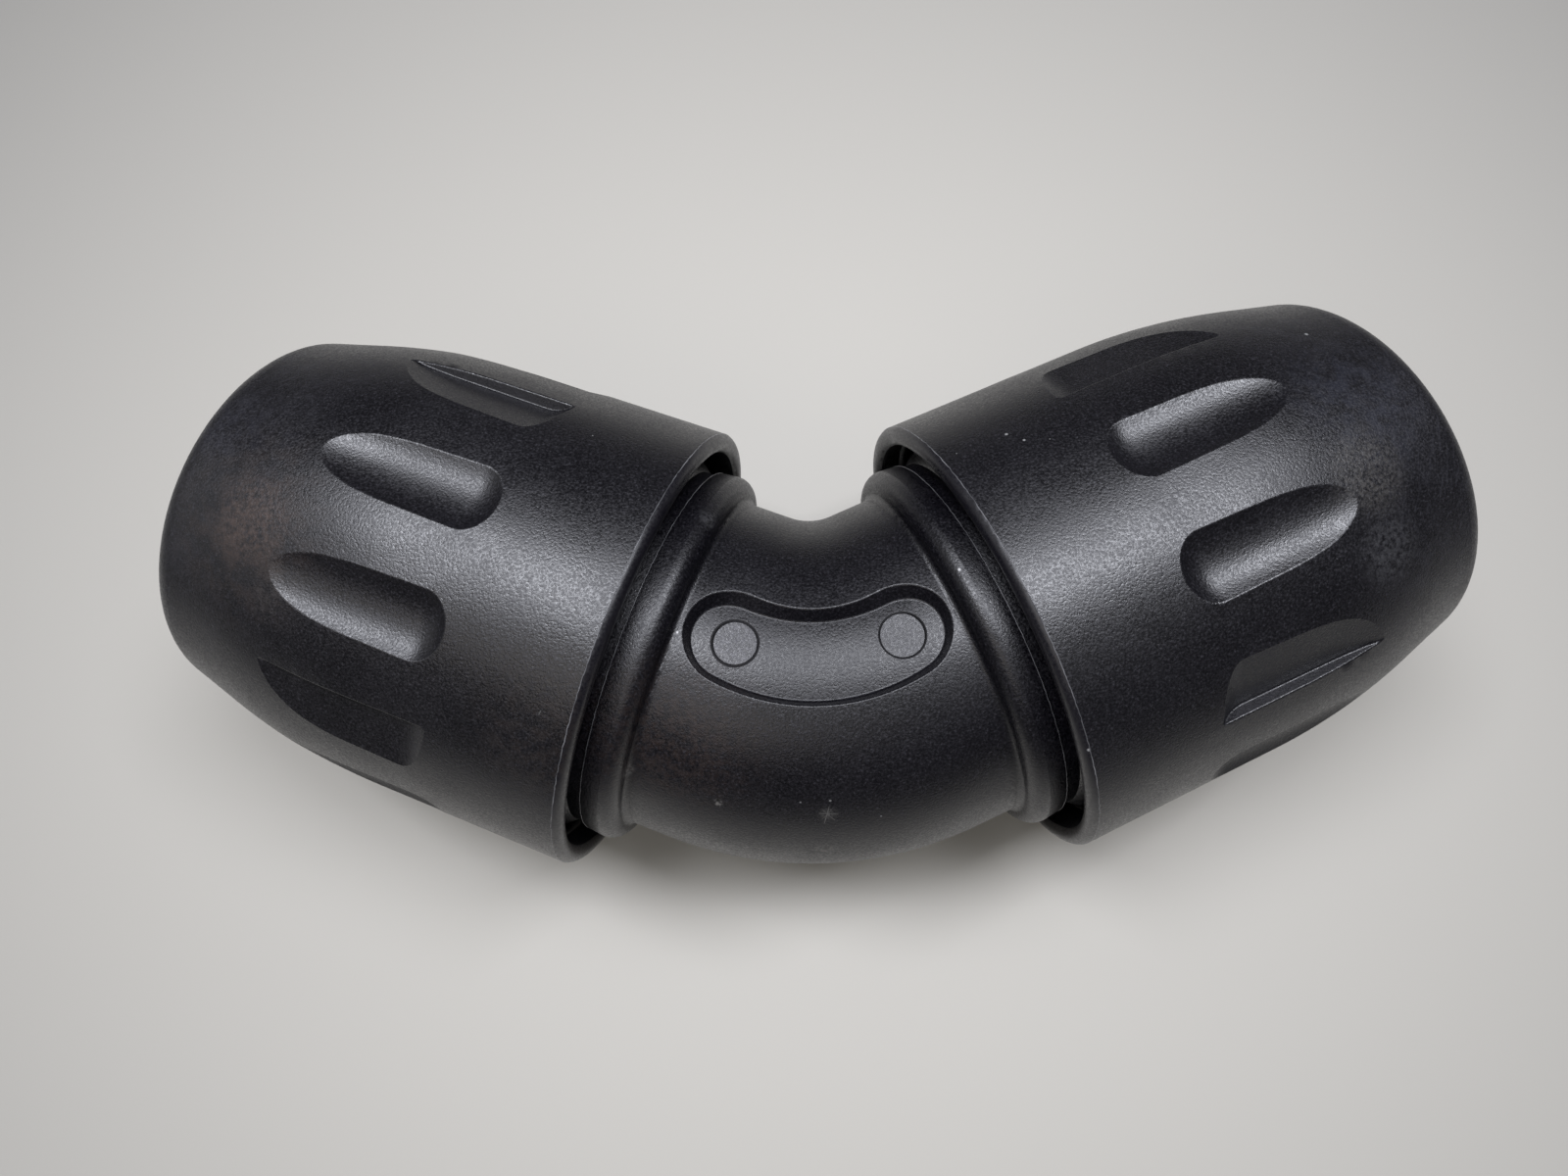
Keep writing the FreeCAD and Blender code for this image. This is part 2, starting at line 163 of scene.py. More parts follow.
class ShaderSketch(NodeSketch):
    """Builds the node tree of one material."""

    def __init__(self, name: str) -> None:
        """Starts a material with an output and one principled shader.

        Args:
            name: the material's name.
        """
        self.material = bpy.data.materials.new(name)
        self.material.use_nodes = True
        super().__init__(self.material.node_tree)
        self.tree.nodes.clear()
        self.shader = self.tree.nodes.new("ShaderNodeBsdfPrincipled")
        output = self.tree.nodes.new("ShaderNodeOutputMaterial")
        self.tree.links.new(self.shader.outputs["BSDF"], output.inputs["Surface"])
        coordinates = self.tree.nodes.new("ShaderNodeTexCoord")
        self.place = coordinates.outputs["Object"]

    def noise(self, size: float, detail: float = 2.0, roughness: float = 0.5) -> Socket:
        """Soft cloud noise.

        Args:
            size: the width of one cloud, in mm.
            detail: how many finer layers it has.
            roughness: how strong the finer layers are.

        Returns:
            The noise from 0 to 1.
        """
        node = self.tree.nodes.new("ShaderNodeTexNoise")
        self.tree.links.new(self.place, node.inputs["Vector"])
        node.inputs["Scale"].default_value = 1.0 / (size * MM)
        node.inputs["Detail"].default_value = detail
        node.inputs["Roughness"].default_value = roughness
        return node.outputs["Fac"]

    def cells(self, size: float) -> Socket:
        """Distance from the nearest of many scattered points.

        Args:
            size: the usual distance between the points, in mm.

        Returns:
            The distance, as a share of that size.
        """
        node = self.tree.nodes.new("ShaderNodeTexVoronoi")
        self.tree.links.new(self.place, node.inputs["Vector"])
        node.inputs["Scale"].default_value = 1.0 / (size * MM)
        return node.outputs["Distance"]

    def span(
        self,
        value: Socket,
        low: float,
        high: float,
        start: float,
        end: float,
        kind: str = "SMOOTHSTEP",
    ) -> Socket:
        """Maps one range of a value onto another, with both ends held.

        Args:
            value: the value to map.
            low: where the range of the value starts.
            high: where it ends.
            start: what the low end becomes.
            end: what the high end becomes.
            kind: how the value runs between its ends.

        Returns:
            The mapped value.
        """
        node = self.tree.nodes.new("ShaderNodeMapRange")
        node.interpolation_type = kind
        self.tree.links.new(value, node.inputs["Value"])
        node.inputs["From Min"].default_value = low
        node.inputs["From Max"].default_value = high
        node.inputs["To Min"].default_value = start
        node.inputs["To Max"].default_value = end
        return node.outputs["Result"]

    def along(self, leg: LegFrame) -> Socket:
        """Distance outward along one leg.

        Args:
            leg: the leg.

        Returns:
            The distance from the crossing of the legs, in metres.
        """
        offset = self.vector("SUBTRACT", self.place, leg.crossing)
        return self.vector("DOT_PRODUCT", offset.outputs["Vector"], leg.outward).outputs["Value"]

    def streaks(self, size: float, stretch: float, turn: float, detail: float = 3.0) -> Socket:
        """Noise drawn out into streaks that lie level, as rubbing leaves them.

        Args:
            size: the width of one streak, in mm.
            stretch: how many times longer than wide it is.
            turn: its direction from +X, in degrees.
            detail: how many finer layers the noise has.

        Returns:
            The noise from 0 to 1.
        """
        mapping = self.tree.nodes.new("ShaderNodeMapping")
        mapping.vector_type = "TEXTURE"
        mapping.inputs["Rotation"].default_value = (0.0, 0.0, math.radians(turn))
        mapping.inputs["Scale"].default_value = (stretch, 1.0, 1.0)
        self.tree.links.new(self.place, mapping.inputs["Vector"])
        node = self.tree.nodes.new("ShaderNodeTexNoise")
        self.tree.links.new(mapping.outputs["Vector"], node.inputs["Vector"])
        node.inputs["Scale"].default_value = 1.0 / (size * MM)
        node.inputs["Detail"].default_value = detail
        return node.outputs["Fac"]

    def near(self, place: Vector, inner: float, outer: float) -> Socket:
        """A soft round patch around one place.

        Args:
            place: the middle of the patch, in metres.
            inner: the radius of its full part, in mm.
            outer: the radius at which it is gone, in mm.

        Returns:
            1 inside the patch and 0 outside it.
        """
        gap = self.vector("DISTANCE", self.place, place)
        return self.span(gap.outputs["Value"], inner * MM, outer * MM, 1.0, 0.0)

    def beside(self, start: Vector, end: Vector, inner: float, outer: float) -> Socket:
        """A thin patch around a straight line, such as a scratch or a hair.

        Args:
            start: one end of the line, in metres.
            end: its other end.
            inner: the half width of its full part, in mm.
            outer: the half width at which it is gone, in mm.

        Returns:
            1 on the line and 0 beside it.
        """
        run = end - start
        offset = self.vector("SUBTRACT", self.place, start)
        dot = self.vector("DOT_PRODUCT", offset.outputs["Vector"], run)
        share = self.math("MULTIPLY", dot.outputs["Value"], 1.0 / run.length_squared)
        held = self.span(share, 0.0, 1.0, 0.0, 1.0, "LINEAR")
        scaled = self.vector("SCALE", run)
        self.tree.links.new(held, scaled.inputs["Scale"])
        gap = self.vector("DISTANCE", offset.outputs["Vector"], scaled.outputs["Vector"])
        return self.span(gap.outputs["Value"], inner * MM, outer * MM, 1.0, 0.0)

    def vector(self, kind: str, first: Vectors, second: Optional[Vectors] = None) -> bpy.types.Node:
        """One sum on vectors.

        Args:
            kind: the operation's name, such as DISTANCE.
            first: the first vector.
            second: the second vector.

        Returns:
            The node of the sum.
        """
        node = self.tree.nodes.new("ShaderNodeVectorMath")
        node.operation = kind
        self.feed(node.inputs[0], first)
        if second is not None:
            self.feed(node.inputs[1], second)
        return node

    def blend(self, share: Value, first: Paint, second: Paint) -> Socket:
        """Mixes two colours.

        Args:
            share: how much of the second colour shows.
            first: the first colour.
            second: the second colour.

        Returns:
            The mixed colour.
        """
        node = self.tree.nodes.new("ShaderNodeMix")
        node.data_type = "RGBA"
        self.feed(node.inputs["Factor"], share)
        self.feed(node.inputs["A"], first)
        self.feed(node.inputs["B"], second)
        return node.outputs["Result"]

    def relief(self, height: Socket, depth: float, strength: float = 1.0) -> None:
        """Gives the surface a fine relief, over any relief that it has already.

        Args:
            height: the height from 0 to 1.
            depth: how deep a height of 1 is, in mm.
            strength: how much of the relief shows.
        """
        node = self.tree.nodes.new("ShaderNodeBump")
        node.inputs["Distance"].default_value = depth * MM
        node.inputs["Strength"].default_value = strength
        self.tree.links.new(height, node.inputs["Height"])
        target = self.shader.inputs["Normal"]
        if target.is_linked:
            self.tree.links.new(target.links[0].from_socket, node.inputs["Normal"])
        self.tree.links.new(node.outputs["Normal"], target)


@dataclass(frozen=True)
class Clouds:
    """Cloud noise that shows between two of its levels, with its size in mm."""

    size: float
    detail: float
    roughness: float
    levels: Levels

    def show(self, sketch: ShaderSketch, share: float) -> Socket:
        """Draws the clouds.

        Args:
            sketch: the material's sketch.
            share: how strong they are at their fullest.

        Returns:
            The clouds, from 0 to that share.
        """
        noise = sketch.noise(self.size, self.detail, self.roughness)
        return sketch.span(noise, *self.levels, 0.0, share)


@dataclass(frozen=True)
class Patch:
    """A place with another colour: a worn spot, a scuff, a pit or a speck of dust.

    The place is in mm in the row frame, and the ragged size is that of the clouds that break it up.
    """

    place: Triple
    inner: float
    outer: float
    colour: Colour
    share: float = 1.0
    ragged: float = 0.0
    ragged_detail: float = 6.0
    ragged_roughness: float = 0.7
    ragged_levels: Levels = (0.38, 0.64)

    def over(self, sketch: ShaderSketch, colour: Socket) -> Socket:
        """Lays the patch over a colour.

        Args:
            sketch: the material's sketch.
            colour: the colour so far.

        Returns:
            The colour with the patch.
        """
        inside = sketch.near(Vector(self.place) * MM, self.inner, self.outer)
        strength: Value = self.share
        if self.ragged > 0:
            clouds = Clouds(self.ragged, self.ragged_detail, self.ragged_roughness, self.ragged_levels)
            strength = clouds.show(sketch, self.share)
        return sketch.blend(sketch.math("MULTIPLY", inside, strength), colour, self.colour)


@dataclass(frozen=True)
class Scratch:
    """A short straight scratch or a hair, between two places in mm in the row frame.

    To each side it is full up to one share of its width, and gone at another.
    """

    start: Triple
    end: Triple
    width: float
    colour: Colour
    share: float = 1.0
    full: float = 0.25
    gone: float = 0.75

    def over(self, sketch: ShaderSketch, colour: Socket) -> Socket:
        """Lays the scratch over a colour.

        Args:
            sketch: the material's sketch.
            colour: the colour so far.

        Returns:
            The colour with the scratch.
        """
        start, end = Vector(self.start) * MM, Vector(self.end) * MM
        line = sketch.beside(start, end, self.full * self.width, self.gone * self.width)
        return sketch.blend(sketch.math("MULTIPLY", line, self.share), colour, self.colour)


Mark = Union[Patch, Scratch]


@dataclass(frozen=True)
class PinMark:
    """The round mark of an ejector pin: a grainy disc in a fine groove with painted shade."""

    x: float
    y: float
    radius: float = 4.1
    groove: float = 0.34
    sand: float = 0.6
    lowest: float = 28.0
    height_fade: float = 0.5
    edge_fade: float = 0.1

    def above(self, sketch: ShaderSketch) -> Socket:
        """Where the mark may show, so that it isn't drawn in the bore or on the underside.

        Args:
            sketch: the material's sketch.

        Returns:
            1 above the mark's lowest place and 0 below it.
        """
        height = sketch.vector("DOT_PRODUCT", sketch.place, Vector((0.0, 0.0, 1.0)))
        full = self.lowest + self.height_fade
        return sketch.span(height.outputs["Value"], self.lowest * MM, full * MM, 0.0, 1.0)

    def distance(self, sketch: ShaderSketch) -> Socket:
        """Distance from the pin's upright axis, in metres.

        Args:
            sketch: the material's sketch.

        Returns:
            The distance.
        """
        flat = sketch.vector("MULTIPLY", sketch.place, Vector((1.0, 1.0, 0.0)))
        axis = Vector((self.x, self.y, 0.0)) * MM
        return sketch.vector("DISTANCE", flat.outputs["Vector"], axis).outputs["Value"]

    def ring(self, sketch: ShaderSketch) -> Socket:
        """The groove around the disc, where the material paints shade.

        Args:
            sketch: the material's sketch.

        Returns:
            1 in the groove and 0 beside it.
        """
        gap = self.distance(sketch)
        middle = self.radius * MM
        inward = sketch.span(gap, middle - self.groove * MM, middle, 0.0, 1.0)
        outward = sketch.span(gap, middle, middle + self.groove * MM, 1.0, 0.0)
        return sketch.math("MULTIPLY", sketch.math("MULTIPLY", inward, outward), self.above(sketch))

    def disc(self, sketch: ShaderSketch) -> Socket:
        """The disc inside the groove.

        Args:
            sketch: the material's sketch.

        Returns:
            1 on the disc and 0 outside it.
        """
        edge = (self.radius - self.groove) * MM
        inside = sketch.span(self.distance(sketch), edge - self.edge_fade * MM, edge, 1.0, 0.0)
        return sketch.math("MULTIPLY", inside, self.above(sketch))


@dataclass(frozen=True)
class GrainedNylon:
    """Black glass-filled nylon: fine moulded grain with painted glints, dust and a little wear.

    On a nut, the lip at the mouth is smooth, and the nose is rubbed. The groove around a pin mark is
    deeper than the grain by the factor that groove_depth gives; its darkness is painted shade.
    """

    name: str
    deep: Colour = (0.0008, 0.0006, 0.002, 1.0)
    pale: Colour = (0.0036, 0.003, 0.0064, 1.0)
    painted_glint: Colour = (0.045, 0.043, 0.055, 1.0)
    rubbed: Colour = (0.015, 0.0145, 0.0195, 1.0)
    dust: Colour = grey(0.22)
    grain_size: float = 0.44
    grain_depth: float = 0.075
    grain_tone: Levels = (0.0, 0.85)
    grain_dulling: Levels = (-0.09, 0.12)
    painted_glint_levels: Levels = (0.6, 0.78)
    painted_glint_share: float = 0.55
    mottle_size: float = 16.0
    mottle_tone: Levels = (-0.05, 0.15)
    mottle_dulling: Levels = (-0.03, 0.04)
    wave_size: float = 3.4
    wave_depth: float = 0.05
    wave_strength: float = 0.4
    dust_spacing: float = 11.0
    dust_levels: Levels = (0.008, 0.017)
    roughness: float = 0.36
    gloss: float = 0.86
    leg: Optional[LegFrame] = None
    lip_end: float = 35.7
    lip_fade: float = 0.1
    nose_start: float = 90.0
    nose_full: float = 106.0
    nose_clouds: Clouds = Clouds(5.0, 5.0, 0.7, (0.45, 0.7))
    nose_cloud_share: float = 0.6
    streak_width: float = 0.7
    streak_stretch: float = 14.0
    streak_turn: float = 62.0
    streak_levels: Levels = (0.55, 0.68)
    streak_share: float = 0.75
    marks: Tuple[Mark, ...] = ()
    pins: Tuple[PinMark, ...] = ()
    pin_sand: Clouds = Clouds(0.8, 3.0, 0.7, (0.42, 0.62))
    groove_dulling: float = 0.5
    groove_depth: float = 2.2

    def make(self) -> bpy.types.Material:
        """Builds the material.

        Returns:
            The finished material.
        """
        sketch = ShaderSketch(self.name)
        grain = sketch.noise(self.grain_size, detail=2.0, roughness=0.6)
        mottle = sketch.noise(self.mottle_size, detail=4.0, roughness=0.55)
        colour = self.tone(sketch, grain, mottle)
        evenness = (self.roughness + part for part in self.mottle_dulling)
        even = sketch.span(mottle, *NOISE_LEVELS, *evenness)
        rough = sketch.math("ADD", even, sketch.span(grain, *NOISE_LEVELS, *self.grain_dulling))
        height = grain
        if self.leg is not None:
            along = sketch.along(self.leg)
            lip_start = self.lip_end - self.lip_fade
            outside = sketch.span(along, lip_start * MM, self.lip_end * MM, 0.0, 1.0)
            colour = sketch.blend(outside, self.pale, colour)
            colour = self.rub(sketch, colour, along)
            height = sketch.math("MULTIPLY", grain, outside)
        for pin in self.pins:
            ring = pin.ring(sketch)
            # The disc's sand is drawn in the pale colour of the painted glints.
            sand = self.pin_sand.show(sketch, pin.sand)
            colour = sketch.blend(sketch.math("MULTIPLY", pin.disc(sketch), sand), colour, self.painted_glint)
            # Painted shade: the groove is darkened to the deep colour, beside its duller gloss and sunk
            # relief.
            colour = sketch.blend(ring, colour, self.deep)
            rough = sketch.math("ADD", rough, sketch.math("MULTIPLY", ring, self.groove_dulling))
            height = sketch.math("SUBTRACT", height, sketch.math("MULTIPLY", ring, self.groove_depth))
        for mark in self.marks:
            colour = mark.over(sketch, colour)
        speck = sketch.span(sketch.cells(self.dust_spacing), *self.dust_levels, 1.0, 0.0)
        colour = sketch.blend(speck, colour, self.dust)
        sketch.feed(sketch.shader.inputs["Base Color"], colour)
        sketch.feed(sketch.shader.inputs["Roughness"], rough)
        sketch.shader.inputs["Specular IOR Level"].default_value = self.gloss
        waves = sketch.noise(self.wave_size, detail=3.0, roughness=0.5)
        sketch.relief(waves, self.wave_depth, self.wave_strength)
        sketch.relief(height, self.grain_depth)
        return sketch.material

    def tone(self, sketch: ShaderSketch, grain: Socket, mottle: Socket) -> Socket:
        """Mixes the plastic's colour from its grain and mottle, with pale flecks as painted glints.

        Args:
            sketch: the material's sketch.
            grain: the noise of the moulded grain.
            mottle: the noise of the wide uneven tone.

        Returns:
            The colour before any wear.
        """
        fine = sketch.span(grain, *NOISE_LEVELS, *self.grain_tone)
        coarse = sketch.span(mottle, *NOISE_LEVELS, *self.mottle_tone)
        colour = sketch.blend(sketch.math("ADD", fine, coarse), self.deep, self.pale)
        # Painted glints: pale flecks in the base colour stand in for the sparkle of the grain.
        painted_glint = sketch.span(grain, *self.painted_glint_levels, 0.0, self.painted_glint_share)
        return sketch.blend(painted_glint, colour, self.painted_glint)

    def rub(self, sketch: ShaderSketch, colour: Socket, along: Socket) -> Socket:
        """Rubs a nut's nose with faint streaks and clouds.

        Args:
            sketch: the material's sketch.
            colour: the colour so far.
            along: the distance along the nut's leg.

        Returns:
            The colour with its wear.
        """
        nose = sketch.span(along, self.nose_start * MM, self.nose_full * MM, 0.0, 1.0)
        turn = self.leg.end.value + self.streak_turn
        streaks = sketch.streaks(self.streak_width, self.streak_stretch, turn)
        streak = sketch.span(streaks, *self.streak_levels, 0.0, self.streak_share)
        cloud = self.nose_clouds.show(sketch, self.nose_cloud_share)
        rub = sketch.math("MULTIPLY", nose, sketch.math("MAXIMUM", streak, cloud))
        return sketch.blend(rub, colour, self.rubbed)


@dataclass(frozen=True)
class PlainFinish:
    """A smooth plastic, rubber or metal with a little uneven tone."""

    name: str
    deep: Colour
    pale: Colour
    roughness: float
    metallic: float = 0.0
    mottle_size: float = 5.0
    mottle_dulling: Levels = (-0.04, 0.06)
    relief_size: float = 1.0
    relief_depth: float = 0.01

    def make(self) -> bpy.types.Material:
        """Builds the material.

        Returns:
            The finished material.
        """
        sketch = ShaderSketch(self.name)
        mottle = sketch.noise(self.mottle_size, detail=4.0, roughness=0.6)
        tone = sketch.span(mottle, *NOISE_LEVELS, 0.0, 1.0)
        colour = sketch.blend(tone, self.deep, self.pale)
        sketch.feed(sketch.shader.inputs["Base Color"], colour)
        evenness = (self.roughness + part for part in self.mottle_dulling)
        rough = sketch.span(mottle, *NOISE_LEVELS, *evenness)
        sketch.feed(sketch.shader.inputs["Roughness"], rough)
        sketch.shader.inputs["Metallic"].default_value = self.metallic
        sketch.relief(sketch.noise(self.relief_size), self.relief_depth)
        return sketch.material


@dataclass(frozen=True)
class FloorSheet:
    """A pale sheet with a painted pool of light: painted shade darkens it away from the fitting."""

    name: str = "floor_painted_light_pool"
    near: Colour = (0.572, 0.551, 0.498, 1.0)
    far: Colour = (0.172, 0.168, 0.158, 1.0)
    fade_start: float = 0.0
    fade_end: float = 520.0
    roughness: float = 0.7

    def make(self, floor_z: float) -> bpy.types.Material:
        """Builds the material.

        Args:
            floor_z: the floor's height, in mm.

        Returns:
            The finished material.
        """
        sketch = ShaderSketch(self.name)
        middle = Vector((0.0, 0.0, floor_z * MM))
        # Painted light: pale near the fitting, painted darker with distance as the light's fall-off.
        painted_light_pool = sketch.near(middle, self.fade_start, self.fade_end)
        sketch.feed(sketch.shader.inputs["Base Color"], sketch.blend(painted_light_pool, self.far, self.near))
        sketch.shader.inputs["Roughness"].default_value = self.roughness
        return sketch.material


ACETAL = PlainFinish(
    "acetal_white",
    deep=(0.52, 0.52, 0.49, 1.0),
    pale=(0.62, 0.62, 0.59, 1.0),
    roughness=0.32,
)
STEEL = PlainFinish(
    "spring_steel",
    deep=grey(0.42),
    pale=grey(0.6),
    roughness=0.28,
    metallic=1.0,
)
RUBBER = PlainFinish(
    "seal_rubber",
    deep=grey(0.008),
    pale=grey(0.018),
    roughness=0.5,
)
BACKING = PlainFinish(
    "backing_nylon",
    deep=(0.012, 0.012, 0.013, 1.0),
    pale=(0.02, 0.02, 0.021, 1.0),
    roughness=0.45,
)
# Painted glints: flash lines are black nylon, drawn pale for the glints on their ragged edges.
BODY_FLASH_PAINTED_GLINT = PlainFinish(
    "body_flash_painted_glint",
    deep=(0.05, 0.05, 0.055, 1.0),
    pale=(0.16, 0.16, 0.17, 1.0),
    roughness=0.28,
)
NUT_FLASH_PAINTED_GLINT = PlainFinish(
    "nut_flash_painted_glint",
    deep=(0.06, 0.06, 0.065, 1.0),
    pale=(0.2, 0.2, 0.21, 1.0),
    roughness=0.28,
)


# Shapes made by rule


class GeometrySketch(NodeSketch):
    """Builds one geometry node tree with named inputs, and turns its result into a mesh."""

    def __init__(self, name: str) -> None:
        """Starts an empty tree with a geometry output.

        Args:
            name: the tree's name, which the piece takes too.
        """
        super().__init__(bpy.data.node_groups.new(name, "GeometryNodeTree"))
        self.name = name
        self.tree.interface.new_socket("Geometry", in_out="OUTPUT", socket_type="NodeSocketGeometry")
        self.inlet = self.tree.nodes.new("NodeGroupInput")
        self.outlet = self.tree.nodes.new("NodeGroupOutput")
        self.values: Dict[str, float] = {}

    def size(self, name: str, value: float, kind: str = "NodeSocketFloat") -> Socket:
        """Adds a named input to the tree.

        Args:
            name: the input's name.
            value: what the piece gives it.
            kind: the type of its socket.

        Returns:
            The socket inside the tree.
        """
        socket = self.tree.interface.new_socket(name, in_out="INPUT", socket_type=kind)
        self.values[socket.identifier] = value
        return next(out for out in self.inlet.outputs if out.identifier == socket.identifier)

    def node(self, kind: str, **inputs: Supply) -> bpy.types.Node:
        """Adds a node and feeds its inputs.

        Args:
            kind: the node's type.
            inputs: what each input gets, by its name with underscores for spaces.

        Returns:
            The new node.
        """
        node = self.tree.nodes.new(kind)
        for name, value in inputs.items():
            self.feed(node.inputs[name.replace("_", " ")], value)
        return node

    def finish(self, geometry: Socket, material: bpy.types.Material, place: Matrix) -> bpy.types.Object:
        """Ends the tree, and turns its result into a plain mesh object at the origin.

        Args:
            geometry: the socket that holds the finished shape.
            material: the shape's material.
            place: where the shape goes in the row frame.

        Returns:
            The finished piece.
        """
        real = self.node("GeometryNodeRealizeInstances", Geometry=geometry)
        dressed = self.node(
            "GeometryNodeSetMaterial",
            Geometry=real.outputs["Geometry"],
            Material=material,
        )
        self.tree.links.new(dressed.outputs["Geometry"], self.outlet.inputs["Geometry"])
        maker = bpy.data.objects.new(self.name + "_maker", bpy.data.meshes.new(self.name + "_maker"))
        bpy.context.scene.collection.objects.link(maker)
        modifier = maker.modifiers.new("shape", "NODES")
        modifier.node_group = self.tree
        for identifier, value in self.values.items():
            modifier[identifier] = value
        bpy.context.view_layer.update()
        evaluated = maker.evaluated_get(bpy.context.evaluated_depsgraph_get())
        mesh = bpy.data.meshes.new_from_object(evaluated)
        maker.modifiers.remove(modifier)
        bpy.data.objects.remove(maker)
        mesh.name = self.name
        mesh.transform(place)
        mesh.materials.clear()
        mesh.materials.append(material)
        piece = bpy.data.objects.new(self.name, mesh)
        bpy.context.scene.collection.objects.link(piece)
        return piece


@dataclass
class ThreadRidge:
    """A helical ridge on a round wall, of trapezoid section, with its foot sunk into the wall."""

    name: str
    root_radius: float
    crest_radius: float
    start_s: float
    end_s: float
    pitch: float = 5.0
    root_width: float = 2.9
    crest_width: float = 1.3
    sink: float = 0.25
    steps_a_turn: int = 96

    def make(self, leg: LegFrame, material: bpy.types.Material) -> bpy.types.Object:
        """Builds the ridge around one leg.

        Args:
            leg: the leg that carries it.
            material: its material.

        Returns:
            The finished ridge.
        """
        turns = (self.end_s - self.start_s) / self.pitch
        sketch = GeometrySketch(self.name)
        root = sketch.size("Root radius", self.root_radius * MM)
        height = sketch.size("Length", (self.end_s - self.start_s) * MM)
        rotations = sketch.size("Turns", turns)
        steps = sketch.size("Steps", int(turns * self.steps_a_turn), "NodeSocketInt")
        spiral = sketch.node(
            "GeometryNodeCurveSpiral",
            Resolution=steps,
            Rotations=rotations,
            Start_Radius=root,
            End_Radius=root,
            Height=height,
        )
        rise = (self.crest_radius - self.root_radius) * MM
        foot = (-self.sink if rise > 0 else self.sink) * MM
        section = sketch.node("GeometryNodeCurvePrimitiveQuadrilateral")
        section.mode = "POINTS"
        corners = (
            (foot, -self.root_width / 2 * MM, 0.0),
            (rise, -self.crest_width / 2 * MM, 0.0),
            (rise, self.crest_width / 2 * MM, 0.0),
            (foot, self.root_width / 2 * MM, 0.0),
        )
        for index, corner in enumerate(corners):
            section.inputs[f"Point {index + 1}"].default_value = corner
        upright = sketch.node("GeometryNodeSetCurveNormal", Curve=spiral.outputs["Curve"])
        upright.mode = "Z_UP"
        swept = sketch.node(
            "GeometryNodeCurveToMesh",
            Curve=upright.outputs["Curve"],
            Profile_Curve=section.outputs["Curve"],
            Fill_Caps=True,
        )
        return sketch.finish(swept.outputs["Mesh"], material, leg.matrix(self.start_s))


@dataclass
class FlashLine:
    """The thin ragged line of plastic that a mould leaves around a sharp edge.

    Clouds of noise move it along the leg, and swell it between the two shares of its thickness.
    """

    name: str
    radius: float
    s: float
    thickness: float = 0.12
    ragged: float = 0.4
    steps: int = 900
    section_steps: int = 6
    seed: float = 7.0
    clouds_a_metre: float = 700.0
    cloud_detail: float = 3.0
    cloud_middle: float = 0.5
    swell_levels: Levels = (0.42, 0.6)
    swell_shares: Levels = (0.1, 1.3)

    def make(self, leg: LegFrame, material: bpy.types.Material) -> bpy.types.Object:
        """Builds the line around one leg.

        Args:
            leg: the leg that carries it.
            material: its material.

        Returns:
            The finished line.
        """
        sketch = GeometrySketch(self.name)
        around = sketch.size("Radius", self.radius * MM)
        thick = sketch.size("Thickness", self.thickness * MM)
        uneven = sketch.size("Ragged", self.ragged * MM)
        seed = sketch.size("Seed", self.seed)
        steps = sketch.size("Steps", self.steps, "NodeSocketInt")
        circle = sketch.node("GeometryNodeCurvePrimitiveCircle", Resolution=steps, Radius=around)
        clouds = sketch.node("ShaderNodeTexNoise", Scale=self.clouds_a_metre, Detail=self.cloud_detail)
        clouds.noise_dimensions = "4D"
        sketch.feed(clouds.inputs["W"], seed)
        level = sketch.math("SUBTRACT", clouds.outputs["Fac"], self.cloud_middle)
        shift = sketch.node("ShaderNodeCombineXYZ", Z=sketch.math("MULTIPLY", level, uneven))
        moved = sketch.node(
            "GeometryNodeSetPosition",
            Geometry=circle.outputs["Curve"],
            Offset=shift.outputs["Vector"],
        )
        swell = sketch.node(
            "ShaderNodeMapRange",
            Value=clouds.outputs["Fac"],
            From_Min=self.swell_levels[0],
            From_Max=self.swell_levels[1],
            To_Min=self.swell_shares[0],
            To_Max=self.swell_shares[1],
        )
        swollen = sketch.node(
            "GeometryNodeSetCurveRadius",
            Curve=moved.outputs["Geometry"],
            Radius=swell.outputs["Result"],
        )
        section = sketch.node(
            "GeometryNodeCurvePrimitiveCircle",
            Resolution=self.section_steps,
            Radius=thick,
        )
        swept = sketch.node(
            "GeometryNodeCurveToMesh",
            Curve=swollen.outputs["Curve"],
            Profile_Curve=section.outputs["Curve"],
        )
        return sketch.finish(swept.outputs["Mesh"], material, leg.matrix(self.s))


# Sub-assemblies


@dataclass
class Dresser:
    """Gives pieces their material, and joins them to the bodies that they move with."""

    nodes: Dict[str, bpy.types.Object]
    made: List[str] = field(default_factory=list)

    def node(self, name: str, material: bpy.types.Material) -> None:
        """Dresses one solid of the model.

        Args:
            name: the node's name.
            material: its material.
        """
        mesh = self.nodes[name].data
        mesh.materials.clear()
        mesh.materials.append(material)
        log.info("node %s: %s", name, material.name)

    def piece(self, piece: bpy.types.Object, body: str, slot: str) -> None:
        """Joins one added piece to its body.

        Args:
            piece: the added piece.
            body: the body that it moves with.
            slot: not used.
        """
        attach(piece, body)
        self.made.append(piece.name)
        log.info("piece %s on %s: %d faces", piece.name, body, len(piece.data.polygons))


